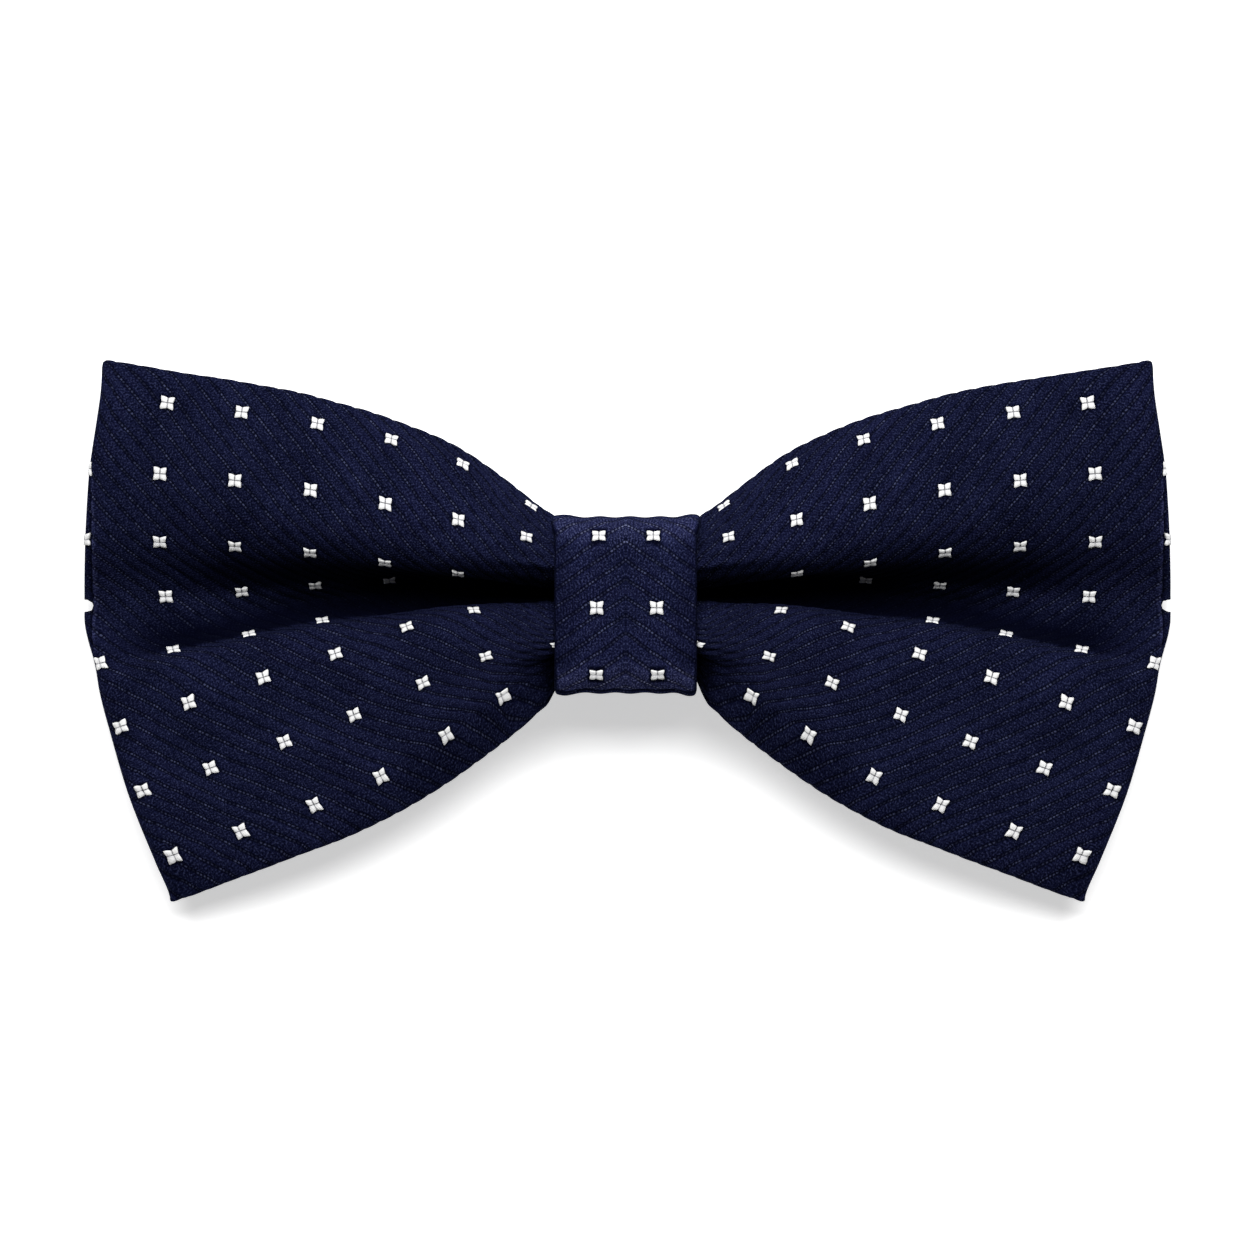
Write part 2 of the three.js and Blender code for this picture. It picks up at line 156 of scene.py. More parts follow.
def unit(vectors):
    # Each vector over its length
    return vectors / np.maximum(np.linalg.norm(vectors, axis=-1, keepdims=True), 1e-9)


def bell(x, middle, width):
    # 1 at the middle, dying away to both sides over the width
    return np.exp(-((x - middle) / width) ** 2)


def multipleOf(count, step):
    # count rounded up to whole steps
    return int(math.ceil(count / step) * step)


# Rows down the front are counted in control points: each line of the table is one, and the rolls at the top
# and bottom folds have two more each
def foldRoll(edge, inner, side):
    # A quarter turn of the fold's radius from the outermost point over to the front
    inward = unit(np.array([-side, 0.0]) + unit((inner - edge)[1:]))
    outward = np.array([side * inward[1], abs(inward[0])])
    rolled = []
    for turn in (rightAngle / 2, rightAngle):
        move = wing["foldRadius"] * (inward * (1 - math.cos(turn)) + outward * math.sin(turn))
        rolled.append(edge + np.array([0, *move]))
    return rolled


def sectionPoints():
    # Each station's points down the front, with a quarter turn rolled at both folds
    sections = {}
    for name, station in stations.items():
        points = []
        for values in foldTable.values():
            row = dict(zip(foldColumns, values))
            x = row["endX"] if name == "end" else station["x"] - row["lean"] * station["lean"]
            points.append(np.array([x, row[name + "Y"], row[name + "Z"]]))
        if name == "end":  # there the table gives the sheet's top, a radius above the roll's middle
            for place in (0, -1):
                points[place][2] -= wing["foldRadius"]
        top = foldRoll(points[0], points[1], 1)
        low = foldRoll(points[-1], points[-2], -1)
        sections[name] = np.array([points[0], *top, *points[1:-1], *low[::-1], points[-1]])
    return sections


sections = sectionPoints()
lastRow = len(foldTable) + 3
foldRows = np.array([0, *range(3, lastRow - 2), lastRow], float)
columnOf = {name: np.array([row[i] for row in foldTable.values()]) for i, name in enumerate(foldColumns)}
stationKnots = [place["cloth"] for place in stations.values()]
mouthReach = stations["mouth"]["cloth"]
endTurnStart = stations["end"]["cloth"] - wing["foldRadius"]
endReach = endTurnStart + wing["foldRadius"] * rightAngle


def frontSection(name, s):
    # Curve through a station's points at the rows s
    return catmullRom(sections[name], s)


def backSection(name, s, q, side):
    # Flat by the slit, rising with the cube of the distance from it, then a quarter turn up to the fold.
    # At the end it lies two radii under the front.
    r = wing["foldRadius"]
    front = frontSection(name, s)
    if name == "end":
        lift = r * np.sin(np.clip(np.minimum(s, lastRow - s) / 2, 0, 1) * rightAngle)
        return front - 2 * lift[:, None] * np.array([0, 0, 1])
    share = np.abs(1 - 2 * q / lastRow)
    edge = sections[name][np.where(side > 0, 0, -1)]
    flat = np.minimum(1, share / (1 - wing["rollShare"]))
    turn = np.minimum(1, (1 - share) / wing["rollShare"]) * rightAngle
    flatY = wing["slitY"] + (edge[:, 1] - side * r - wing["slitY"]) * flat
    flatZ = stations[name]["back"] + (edge[:, 2] - r - stations[name]["back"]) * flat ** 3
    y = np.where(flat < 1, flatY, edge[:, 1] - side * r * (1 - np.cos(turn)))
    z = np.where(flat < 1, flatZ, edge[:, 2] - r * np.sin(turn))
    return np.stack([front[:, 0], y, z], axis=1)


def wingPoints(s, side, reach, onFront):
    # Points at the rows s and the distance reach along the wing, on the front or the back sheet. side is 1
    # above the slit and -1 below it. Past the start of the end fold the sheets close on their middle surface
    # as a half circle, and inside the knot the section is drawn together.
    r = wing["foldRadius"]
    q = backRow(s)
    turn = np.clip((reach - endTurnStart) / r, 0, rightAngle)
    at = np.where(turn > 0, stations["end"]["cloth"] - r * (1 - np.sin(turn)), reach)
    inside = np.maximum(mouthReach - reach, 0)
    at = np.maximum(at, mouthReach)
    front = alongCurve(stationKnots, np.array([frontSection(name, s) for name in stations]), at)
    back = alongCurve(stationKnots, np.array([backSection(name, s, q, side) for name in stations]), at)
    for sheet in (front, back):
        sheet[:, 2] = np.maximum(sheet[:, 2], 0)
    middle = (front + back) / 2
    chosen = np.where(onFront[:, None], front, back)
    turned = (turn > 0)[:, None]
    points = np.where(turned, middle + (chosen - middle) * np.cos(turn)[:, None], chosen)
    endX = frontSection("end", s)[:, 0]
    points[:, 0] = np.where(turn > 0, endX - r * (1 - np.sin(turn)), points[:, 0])
    # Rounded corners where the end fold meets the top and bottom folds
    nearEdge = np.clip(1 - np.minimum(s, lastRow - s) / 2, 0, 1)
    corner = wing["cornerRound"] * np.sin(turn) ** wing["cornerPower"] * nearEdge
    points[:, 1] -= np.where(s < lastRow / 2, 1, -1) * corner
    points[:, 0] -= corner * wing["cornerDraw"]
    points[:, 0] -= inside
    middleShare, topShare, lowShare = (
        np.clip(inside / length, 0, 1) ** power
        for length, power in (wing["flareMiddle"], wing["flareTop"], wing["flareLow"]))
    above = points[:, 1] - wing["waistMiddle"]
    flare = middleShare + (topShare - middleShare) * smoothStep(*wing["flareTopAt"], above)
    flare = (flare + (lowShare - flare) * smoothStep(*wing["flareLowAt"], -above))[:, None]
    drawn = np.stack([
        points[:, 0],
        wing["waistMiddle"] + above * wing["waistY"],
        wing["waistBack"] + (points[:, 2] - stations["mouth"]["back"]) * wing["waistZ"],
    ], axis=1)
    return points + (drawn - points) * flare


def openSlit(points, side, reach, onFront):
    # Moves the cloth by the slit aside: all along the back, and round the end fold to the notch
    turn = (reach - endTurnStart) / wing["foldRadius"]
    tipTurn = rightAngle * (1 - wing["notchColumns"] / wing["turnColumns"])
    notch = np.clip((turn - tipTurn) / (rightAngle - tipTurn), 0, 1) ** wing["notchPower"]
    half = wing["slitHalf"]
    gap = np.where(onFront, wing["notchHalf"] * notch, half + (wing["notchHalf"] - half) * notch)
    off = side * (points[..., 1] - wing["slitY"])
    points = points.copy()
    points[..., 1] += side * gap * (1 - np.clip(off / wing["slitGive"], 0, 1))
    return points


def clothAlong(s, reach):
    # Distance along the flat cloth, in which the lattice of the stars is even
    lean = np.interp(s, foldRows, columnOf["lean"])
    toEnd = np.interp(s, foldRows, columnOf["toEnd"]) - wing["foldRadius"]
    inner, outer = stations["inner"]["cloth"], stations["outer"]["cloth"]
    start = mouthReach - wing["mouthSlip"] + wing["mouthLean"] * lean
    innerPart = start + (inner - start) * (reach - mouthReach) / (inner - mouthReach)
    innerPart = np.where(reach < mouthReach, start + reach - mouthReach, innerPart)
    outerPart = outer + toEnd * (reach - outer) / (endTurnStart - outer)
    turned = outer + toEnd + (reach - endTurnStart)
    flat = np.where(reach < inner, innerPart, np.where(reach < outer, reach, outerPart))
    return np.where(reach > endTurnStart, turned, flat)


def reachOf(s, along):
    # The reach at a distance along the flat cloth, by halving
    low, high = np.full(len(s), wing["searchFrom"]), np.full(len(s), endReach)
    for _ in range(30):
        mid = (low + high) / 2
        short = clothAlong(s, mid) < along
        low, high = np.where(short, mid, low), np.where(short, high, mid)
    return (low + high) / 2


# Places across the flat cloth against the rows, from the lengths at the outer station
denseRows = np.linspace(0, lastRow, 3001)
frontArc = arcLength(frontSection("outer", denseRows))
denseAcross = np.interp(frontArc, np.interp(foldRows, denseRows, frontArc), columnOf["across"])
slitRow = float(np.interp(-wing["slitY"], -frontSection("end", denseRows)[:, 1], denseRows))


def backRow(s):
    # The back's row that meets the front's row s at the end fold, so that the slit is one row all the way
    return np.interp(s, [0, slitRow, lastRow], [0, lastRow / 2, lastRow])


upperDense = denseRows[denseRows <= slitRow]
lowerDense = denseRows[denseRows >= slitRow]
upperArc = arcLength(backSection("outer", upperDense, backRow(upperDense), np.ones(len(upperDense))))
lowerArc = arcLength(backSection("outer", lowerDense, backRow(lowerDense), -np.ones(len(lowerDense))))
topAcross, bottomAcross = denseAcross[0], denseAcross[-1]


def acrossOf(s, side, onFront):
    # Place across the flat cloth. It goes on round the top and bottom folds, so that the back's lie outside.
    above = topAcross - np.interp(s, upperDense, upperArc)
    below = bottomAcross + lowerArc[-1] - np.interp(s, lowerDense, lowerArc)
    return np.where(onFront, np.interp(s, denseRows, denseAcross), np.where(side > 0, above, below))


def rowOf(across):
    # Row, side of the slit and sheet for a place across the flat cloth
    above = np.interp(topAcross - across, upperArc, upperDense)
    below = np.interp(bottomAcross + lowerArc[-1] - across, lowerArc, lowerDense)
    onFront = (across >= topAcross) & (across <= bottomAcross)
    front = np.interp(across, denseAcross, denseRows)
    s = np.where(onFront, front, np.where(across < topAcross, above, below))
    upper = np.where(onFront, s < slitRow, across < topAcross)
    return s, np.where(upper, 1.0, -1.0), onFront


def wingRows():
    # Rows even in the finer of the front's and the back's spacing, with one of them at the slit
    backStep = np.concatenate([np.diff(upperArc), [0], np.diff(lowerArc)])
    need = np.maximum(np.diff(denseAcross) / wing["frontPitch"], backStep / wing["backPitch"])
    count = np.concatenate([[0], np.cumsum(need)])
    atSlit = float(np.interp(slitRow, denseRows, count))
    upper = multipleOf(atSlit, wing["innerEvery"])
    lower = multipleOf(count[-1] - atSlit, wing["innerEvery"])
    places = (np.linspace(0, atSlit, upper + 1), np.linspace(atSlit, count[-1], lower + 1)[1:])
    rows = np.interp(np.concatenate(places), count, denseRows)
    rows[upper] = slitRow
    return rows, upper


def wingReaches():
    # Even distances along the wing to the end fold, then even turns round it
    flat = multipleOf((endTurnStart - wing["tuckReach"]) / wing["alongPitch"], wing["innerEvery"])
    turned = np.linspace(endTurnStart, endReach, wing["turnColumns"] + 1)[1:]
    return np.concatenate([np.linspace(wing["tuckReach"], endTurnStart, flat + 1), turned])


def ribProfile(phase):
    # 1 over a broad rounded rib and 0 in the narrow groove, once in each unit of phase
    off = np.abs(phase - np.floor(phase) - 0.5) * 2
    return 1 - off ** 4


def gridNormals(grid):
    # Cross product of the two directions of a grid (columns, rows, 3)
    return unit(np.cross(np.gradient(grid, axis=1), np.gradient(grid, axis=0)))


def waves(along, across, seed, count=9, lengths=(7, 16), gain=1.6):
    # Sum of slow sine waves over the cloth, about -1 to 1
    rng = np.random.default_rng(seed)
    total = np.zeros_like(along)
    for _ in range(count):
        angle, length, start = rng.uniform(0, math.pi), rng.uniform(*lengths), rng.uniform(0, 2 * math.pi)
        total += np.sin((along * math.cos(angle) + across * math.sin(angle)) * 2 * math.pi / length + start)
    return total / count * gain


def shadeAt(along, across):
    # Painted shade: 1 in the darkest places of the front, and 0 in the open
    shade = np.zeros_like(along)
    for place in shadePlaces:
        rise, full, fall, end = place["across"]
        band = smoothStep(rise, full, across) * (1 - smoothStep(fall, end, across))
        shade = np.maximum(shade, place["share"] * band * smoothStep(*place["along"], along))
    return shade


def pleatAt(along, across):
    # The pleat that runs out from under the knot: 1 in its line, and the painted shade over its line and
    # below it
    share = np.clip((along - pleat["from"]) / (pleat["to"] - pleat["from"]), 0, 1)
    line = pleat["byKnot"] + (pleat["away"] - pleat["byKnot"]) * share
    fade = 1 - smoothStep(pleat["fadeFrom"], 1, share)
    crease = bell(across, line, pleat["width"]) * fade
    below = smoothStep(line + pleat["shadeFrom"], line + pleat["shadeTo"], across)
    return crease, np.maximum(crease, pleat["below"] * below * fade)


def gatherAt(across, reach):
    # Height of the fine gathers by the knot: a sine across the cloth that dies away from the mouth
    low = np.exp(-np.maximum(reach - mouthReach, 0) / gather["reach"])
    return gather["height"] * np.sin(across * 2 * math.pi / gather["pitch"]) * low


def starLattice():
    # Places of the stars in the flat cloth of one wing, without the hidden ones and those that the knot, the
    # seam along the slit, the notch and the end fold's corners take in
    along = star["firstAlong"] + star["along"] * np.arange(star["columns"])
    across = star["firstAcross"] + star["across"] * np.arange(*star["rows"])
    a, v = (g.ravel() for g in np.meshgrid(along, across))
    row, _, _ = rowOf(v)
    mouthAlong = clothAlong(row, np.full(len(v), mouthReach))
    slitAcross = float(np.interp(slitRow, denseRows, denseAcross))
    first, last = topAcross - upperArc[-1] + star["hemRoom"], bottomAcross + lowerArc[-1] - star["hemRoom"]
    atCorner = (v < topAcross + star["across"]) | (v > bottomAcross)
    dropped = (a > endTurnStart) & (atCorner | (np.abs(v - slitAcross) < star["slitRoom"]))
    for column, lines in hiddenStars.items():
        for line in lines:
            dropped |= (a == along[column]) & np.isclose(v, foldTable[line][0])
    shown = (a > mouthAlong - star["underKnot"]) & (v > first) & (v < last) & ~dropped
    return a[shown], v[shown]


def starShadeOf(along, across, centresA, centresV):
    # Painted shade round the stars: 1 on a star and close round it, and 0 away from it
    nearest = np.full(along.shape, 1e9)
    for a, v in zip(centresA, centresV):
        square = np.maximum(np.abs(along - a) / star["halfWidth"], np.abs(across - v) / star["halfHeight"])
        nearest = np.minimum(nearest, square)
    return 1 - smoothStep(star["starShadeFrom"], star["starShadeTo"], nearest)


def makePiece(name, points, groups, uvs, attributes=None, flat=()):
    # Mesh object from arrays of faces, each array with the same number of corners, and uvs of the same shape.
    # flat numbers the arrays whose faces aren't shaded as one smooth surface.
    mesh = bpy.data.meshes.new(name)
    corners = np.concatenate([g.ravel() for g in groups])
    sizes = np.concatenate([np.full(len(g), g.shape[1]) for g in groups])
    mesh.vertices.add(len(points))
    mesh.vertices.foreach_set("co", (points * mm).astype(np.float32).ravel())
    mesh.loops.add(len(corners))
    mesh.loops.foreach_set("vertex_index", corners.astype(np.int32))
    mesh.polygons.add(len(sizes))
    mesh.polygons.foreach_set("loop_start", (np.cumsum(sizes) - sizes).astype(np.int32))
    mesh.polygons.foreach_set("loop_total", sizes.astype(np.int32))
    mesh.update(calc_edges=True)
    layer = mesh.uv_layers.new(name="weave")
    layer.data.foreach_set("uv", np.concatenate([u.reshape(-1, 2) for u in uvs]).astype(np.float32).ravel())
    for key, values in (attributes or {}).items():
        mesh.attributes.new(key, "FLOAT", "POINT").data.foreach_set("value", values.astype(np.float32))
    smooth = np.concatenate([np.full(len(g), n not in flat) for n, g in enumerate(groups)])
    mesh.polygons.foreach_set("use_smooth", smooth)
    mesh.validate()
    piece = bpy.data.objects.new(name, mesh)
    bpy.context.scene.collection.objects.link(piece)
    return piece


def foldedStrips(columns, upperRows, lowerRows, notchColumns, start):
    # Vertex numbers of the wing's two strips, above and below the slit. Each strip runs from the slit over
    # its fold to the middle of the front. weld gives for each number the one that it is joined to.
    upper = start + np.arange(columns * upperRows).reshape(columns, upperRows)
    lower = start + upper.size + np.arange(columns * lowerRows).reshape(columns, lowerRows)
    weld = {}
    for strip in (upper, lower):
        half = strip.shape[1] // 2
        weld.update(zip(strip[-1, half + 1:][::-1], strip[-1, :half]))
    # The lower strip starts on the front where the upper one ends, as far as the notch
    tip = columns - 1 - notchColumns
    weld.update(zip(lower[:tip + 1, 0], upper[:tip + 1, -1]))
    # Boundary: the opening at the waist, the slit below, the notch and the slit above
    path = np.concatenate([
        upper[0, :], lower[0, 1:], lower[1:, -1], lower[tip:-1, 0][::-1],
        upper[tip + 1:, -1], upper[1:-1, 0][::-1],
    ])
    return upper, lower, weld, path


def stripQuads(index):
    # A face between each four neighbours in a grid of vertex numbers
    return np.stack([index[:-1, :-1], index[:-1, 1:], index[1:, 1:], index[1:, :-1]], axis=-1).reshape(-1, 4)


def creaseAt(y, reach):
    # The crease where the front bends round to the end, and the ridge inside it: 1 on each line, 0 off it.
    # They leave the end's outermost line above, run inwards as far as the notch and go back below.
    span = np.where(y > wing["slitY"], wing["creaseTop"] - wing["slitY"], wing["slitY"] - wing["creaseLow"])
    inset = wing["creaseInset"] * np.clip(1 - np.abs(y - wing["slitY"]) / span, 0, 1) ** wing["creasePower"]
    at = endTurnStart + wing["foldRadius"] * np.arcsin(1 - inset / wing["foldRadius"])
    strength = smoothStep(*wing["creaseFade"], inset)
    return [bell(reach, line, wing["creaseWidth"]) * strength for line in (at, at - wing["ridgeInset"])]


def halves(middle):
    # The rows of the strips above and below the slit, which both have the row middle
    return slice(0, middle + 1), slice(middle, None)


def darker(line, shade):
    # The larger of two painted shades, but the line's own value where it is a ridge's painted highlight,
    # which is below 0
    return np.where(line < -wing["ridgeLight"], line, np.maximum(line, shade))


def innerFace(base, normals, turn, upperCount):
    # The wall's thickness inside the outer face, and round the end fold a smaller half circle
    depth = wing["thick"] + wing["ribDepth"]
    middle = base.copy()
    for part in halves(2 * upperCount):
        middle[:, part] = (base[:, part] + base[:, part][:, ::-1]) / 2
    rolled = middle + (base - middle) * (1 - depth / wing["foldRadius"])
    rolled[..., 0] -= depth * np.sin(turn)
    low = base[..., 1].min(axis=1, keepdims=True) + depth
    high = base[..., 1].max(axis=1, keepdims=True) - depth
    rolled[..., 1] = np.clip(rolled[..., 1], low, high)
    return np.where((turn > 0)[..., None], rolled, base - normals * depth)


def buildWing(name, side, seed):
    # One half of the cloth as a closed wall: a fine outer face, an inner face with every third row and
    # column, and a rim round the slit, the notch and the waist. The outer face is the wing's surface less the
    # ribs' grooves, the creases and some slow unevenness.
    rows, upperCount = wingRows()
    reaches = wingReaches()
    every = wing["innerEvery"]
    count = len(rows) - 1
    # The rows go from the slit up the back, down the front and up the back to the slit again
    order = np.concatenate([
        np.arange(upperCount, 0, -1), np.arange(0, count + 1), np.arange(count - 1, upperCount - 1, -1),
    ])
    place = np.arange(len(order))
    onFront = (place >= upperCount) & (place <= upperCount + count)
    slitSide = np.where(place < 2 * upperCount, 1.0, -1.0)
    s = np.tile(rows[order], len(reaches))
    reach = np.repeat(reaches, len(order))
    face = np.tile(onFront, len(reaches))
    sides = np.tile(slitSide, len(reaches))
    shape = (len(reaches), len(order))
    base = wingPoints(s, sides, reach, face).reshape(*shape, 3)
    along = clothAlong(s, reach).reshape(shape)
    across = acrossOf(s, sides, face).reshape(shape)

    normals = gridNormals(base)
    for part in halves(2 * upperCount):
        normals[-1, part] = unit(normals[-1, part] + normals[-1, part][::-1])
    turn = np.clip((reaches - endTurnStart) / wing["foldRadius"], 0, rightAngle)[:, None]
    fade = 1 - smoothStep(*wing["reliefFade"], turn)
    ribs = ribProfile((along + across) / (weave["ribPitch"] * math.sqrt(2)))
    sunk = wing["ribDepth"] * (1 - ribs) + wing["waveHeight"] * (0.5 + 0.5 * waves(along, across, seed))
    outer = base - normals * ((sunk - wing["relief"]) * fade)[..., None]
    outer[..., 2] = np.maximum(outer[..., 2], 0)
    crease, ridge = (line * onFront[None, :] for line in creaseAt(base[..., 1], reaches[:, None]))
    outer -= normals * (wing["creaseDepth"] * crease - wing["ridgeHeight"] * ridge)[..., None]
    pleated, below = (part * onFront[None, :] for part in pleatAt(along, across))
    gathers = gatherAt(across, reaches[:, None]) * fade * onFront[None, :]
    outer -= normals * (pleat["depth"] * pleated - gathers)[..., None]
    # Painted shade in the valley and below the pleat, and painted shade in the end's crease with a painted
    # highlight on the ridge inside it
    shade = np.maximum(shadeAt(along, across), below) * onFront[None, :]
    shading = darker(crease - ridge, shade)
    inner = innerFace(base, normals, turn, upperCount)[::every, ::every]

    def split(grid, step):
        # The two strips with the slit and notch opened
        middle = 2 * upperCount // step
        return [openSlit(grid[:, half], sign, reaches[::step, None], onFront[::step][half][None, :])
                for half, sign in zip(halves(middle), (1.0, -1.0))]

    points, uvs, shades, groups, welds, paths = [], [], [], [], {}, []
    start = 0
    for grid, step in ((outer, 1), (inner, every)):
        high, low = split(grid, step)
        notch = wing["notchColumns"] // step
        upper, lower, weld, path = foldedStrips(len(high), high.shape[1], low.shape[1], notch, start)
        middle = 2 * upperCount // step
        places = np.stack([along, across], axis=-1)[::step, ::step]
        points += [high.reshape(-1, 3), low.reshape(-1, 3)]
        for half in halves(middle):
            uvs.append(places[:, half].reshape(-1, 2))
            shades.append(shading[::step, ::step][:, half].ravel())
        quads = np.concatenate([stripQuads(upper), stripQuads(lower)])
        groups.append(quads if step == 1 else quads[:, ::-1])
        welds.update(weld)
        paths.append(path)
        start = lower[-1, -1] + 1
    fine, coarse = paths
    k = np.arange(len(coarse))
    following = (k + 1) % len(coarse)
    rim = [fine[(every * (k + 1) - i) % len(fine)] for i in range(every + 1)]
    groups.append(np.stack([*rim, coarse[k], coarse[following]], axis=1))

    points, uvs = np.concatenate(points), np.concatenate(uvs)
    target = np.arange(len(points))
    target[list(welds.keys())] = list(welds.values())
    target = target[target]
    kept, compact = np.unique(target, return_inverse=True)
    compact = compact.reshape(-1)
    # Painted shade round the stars joins it, and all the painted shade and highlight goes to the material as
    # one attribute
    paintedShadeAndLight = darker(np.concatenate(shades)[kept], starShadeOf(uvs[kept, 0], uvs[kept, 1], starA, starV))
    turned = np.stack([uvs[:, 0] + uvs[:, 1], uvs[:, 0] - uvs[:, 1]], axis=1) / math.sqrt(2)
    if side < 0:
        groups = [g[:, ::-1] for g in groups]
    placed, faces = points[kept] * np.array([side, 1, 1]), [compact[g] for g in groups]
    return makePiece(name, placed, faces, [turned[g] for g in groups], {"paintedShadeAndLight": paintedShadeAndLight}, flat=(2,))


def wingSurface(along, across, lift):
    # Points lift above the cloth at places in the flat cloth. Past the end fold's outermost line they go on
    # over the other sheet.
    s, side, onFront = rowOf(across)
    rim = clothAlong(s, np.full(len(s), endReach))
    past = along > rim
    back = np.where(past, 2 * rim - along, along)
    reach = reachOf(s, back)
    sheet = onFront ^ past
    middle = openSlit(wingPoints(s, side, reach, sheet), side, reach, sheet)
    # Small steps for the normal, which stay on the sheet where the point lies
    step, last = 0.02, endReach - 1e-4
    stepOut = wingPoints(s, side, np.minimum(reach + step, last), sheet)
    stepIn = wingPoints(s, side, np.minimum(reach, last) - step, sheet)
    rowStep = np.where(s + step > lastRow, -step, step)
    stepRow = wingPoints(s + rowStep, side, reach, sheet)
    stepBack = wingPoints(np.clip(s - rowStep, 0, lastRow), side, reach, sheet)
    down = (stepRow - stepBack) * np.sign(rowStep)[:, None] * np.where(sheet, 1, -1)[:, None]
    raised = lift + gatherAt(across, reach) * sheet
    return middle + unit(np.cross(down, stepOut - stepIn)) * raised[:, None]


def petalPatch():
    # One petal of a star: a square from the star's middle out to its corner, drawn in beside the next petals
    # with a power of the distance from the corner, blunt at the corner and raised to a low cushion. Its edge
    # goes down into the cloth. Columns: along, across, height, and two places over the petal.
    p, q = (g.ravel() for g in np.meshgrid(star["steps"], star["steps"], indexing="ij"))
    seam, power = star["seam"], star["notchPower"]
    blunt = star["blunt"] * (p * q) ** 4
    x = seam * (1 - p) + p * (1 - (1 - star["notchSide"]) * (1 - q) ** power) - blunt
    y = seam * (1 - q) + q * (1 - (1 - star["notchTop"]) * (1 - p) ** power) - blunt
    dome = np.clip(star["domeGain"] * p * (1 - p) * q * (1 - q), 0, 1) ** 0.5
    height = star["height"] * (star["edgeHeight"] + star["domeHeight"] * dome)
    height = np.where((p == 0) | (q == 0), star["height"] * star["seamHeight"], height)
    height = np.where((p == 1) | (q == 1), -star["sunk"], height)
    return np.stack([x, y, height, p, q], axis=-1), len(star["steps"])


def buildStars(name, centresA, centresV, surface, mirror=1, tall=1.0):
    # Four petals at each centre, each a closed cushion. tall is each star's height over the usual one.
    patch, size = petalPatch()
    index = np.arange(size * size).reshape(size, size)
    quads = stripQuads(index)
    rim = np.concatenate([index[0, :-1], index[:-1, -1], index[-1, :0:-1], index[:0:-1, 0]])
    points, uvs, faces, bases = [], [], [], []
    for petal, (flipX, flipY) in enumerate(((1, 1), (-1, 1), (-1, -1), (1, -1))):
        a = centresA[:, None] + flipX * patch[None, :, 0] * star["halfWidth"]
        v = centresV[:, None] - flipY * patch[None, :, 1] * star["halfHeight"] * tall
        points.append(surface(a.ravel(), v.ravel(), np.tile(patch[:, 2], len(centresA))))
        uvs.append(np.tile(patch[:, 3:], (len(centresA), 1)))
        first = size * size * (np.arange(len(centresA)) + petal * len(centresA))
        top = (first[:, None, None] + quads[None]).reshape(-1, 4)
        under = first[:, None] + rim[None]
        turned = flipX * flipY * mirror > 0
        faces.append(top[:, ::-1] if turned else top)
        bases.append(under if turned else under[:, ::-1])
    faces, bases, uvs = np.concatenate(faces), np.concatenate(bases), np.concatenate(uvs)
    placed = np.concatenate(points) * np.array([mirror, 1, 1])
    return makePiece(name, placed, [faces, bases], [uvs[faces], uvs[bases]], flat=(1,))


def ringQuads(rings, around, closed):
    # Faces between neighbouring rings of points. closed joins the last ring to the first too.
    i, k = np.meshgrid(np.arange(rings if closed else rings - 1), np.arange(around), indexing="ij")
    i2, k2 = (i + 1) % rings, (k + 1) % around
    corners = [a * around + b for a, b in ((i, k), (i2, k), (i2, k2), (i, k2))]
    return np.stack(corners, axis=-1).reshape(-1, 4)


knot = {
    "y": 2.98, "z": 10.6, "halfWidth": 7.82, "shiftX": -0.2, "halfHeight": 9.72, "halfDepth": 8.3,
    "thick": 1.4, "crown": 0.5, "squareness": 3.6, "flatWidth": 16.5, "flatLength": 64,
    "turns": 330, "outerSteps": 84, "edgeSteps": 5, "edgeRadius": 0.42, "innerSteps": 20,
    "ribDepth": 0.1, "ribSlope": 33, "ribStart": 0.84, "faceFrom": (-0.2, 0.5), "endFrom": 0.6,
    "earAt": 7.0, "earWidth": 1.1, "topEar": 0.22, "lowEar": 0.26, "topSpread": 0.42, "spreadFrom": 0.75,
    "rippleHeight": 0.07, "rippleTurn": 1.9, "rippleStart": 0.6,
    "hemY": -6.42, "hemWidth": 0.12, "hemDepth": 0.16, "hemFront": -0.2, "rimFrom": 7.4,
    "sideFrom": 4.5, "sideShade": 0.4, "rollAt": (0.2, 0.7), "rollFront": (0.05, 0.3),
    "topLight": 0.5, "lowLight": 1.0,
}
knotStarRows = {  # place of each row up the front, of its two stars from the middle, and their height
    "top": {"y": 10.4, "left": -3.14, "right": 2.83, "tall": 0.7},
    "middle": {"y": 2.64, "left": -3.38, "right": 3.19, "tall": 1.0},
    "bottom": {"y": -4.55, "left": -3.43, "right": 3.31, "tall": 0.7},
}


def pairsAt(places, length, pairs):
    # Pairs of numbers given at lengths, worked out at other places
    return np.stack([np.interp(places, length, pairs[:, i]) for i in range(2)], axis=1)


def knotPath():
    # Middle line of the band round the waist, a superellipse, even in length. Its length is 0 in the middle
    # of the front and grows downwards. Returns points and outward directions as y and z.
    edge = knot["thick"] / 2
    half = np.array([knot["halfHeight"] - edge, knot["halfDepth"] - edge])
    turn = np.linspace(-rightAngle, 3 * rightAngle, 8001)
    wave = np.stack([np.cos(turn), np.sin(turn)], axis=1)
    line = half * np.sign(wave) * np.abs(wave) ** (2 / knot["squareness"])
    length = arcLength(line)
    even = np.linspace(0, length[-1], knot["turns"] + 1)[:-1]
    points = pairsAt(even, length, line)
    power = knot["squareness"] - 1
    outward = unit(np.sign(points) * (np.abs(points) / half) ** power / half)
    front = np.interp(rightAngle, turn, length)
    return points, outward, even - front


